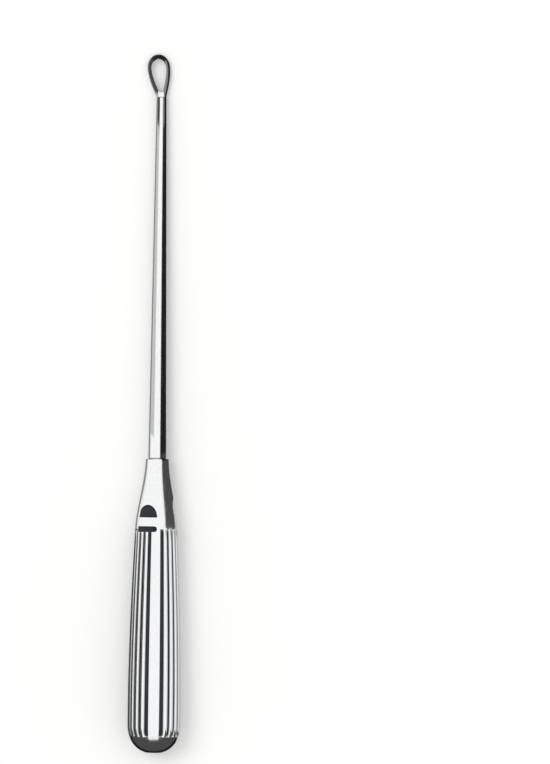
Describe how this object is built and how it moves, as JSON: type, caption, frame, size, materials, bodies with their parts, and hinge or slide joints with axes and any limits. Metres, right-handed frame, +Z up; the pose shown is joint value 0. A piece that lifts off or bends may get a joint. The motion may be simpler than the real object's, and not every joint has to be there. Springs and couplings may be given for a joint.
{
  "type": "uterine curette",
  "caption": "Surgical hand curette: a closed egg-shaped scraping loop on a long tapered round shaft, with a wide ribbed hollow handle.",
  "frame": {"origin": "on the table, under the middle of the instrument as it lies on its back", "axes": "+Y from the butt of the handle to the tip of the loop, +Z up out of the face with the index mark on its left, +X to the right"},
  "size_m": [0.0212, 0.2799, 0.0153],
  "materials": {
    "handle_steel": "polished stainless steel",
    "shaft_steel": "bright polished stainless steel"
  },
  "bodies": {
    "root": {"handle": "handle_steel", "shaft_and_loop": "shaft_steel"}
  },
  "joints": []
}
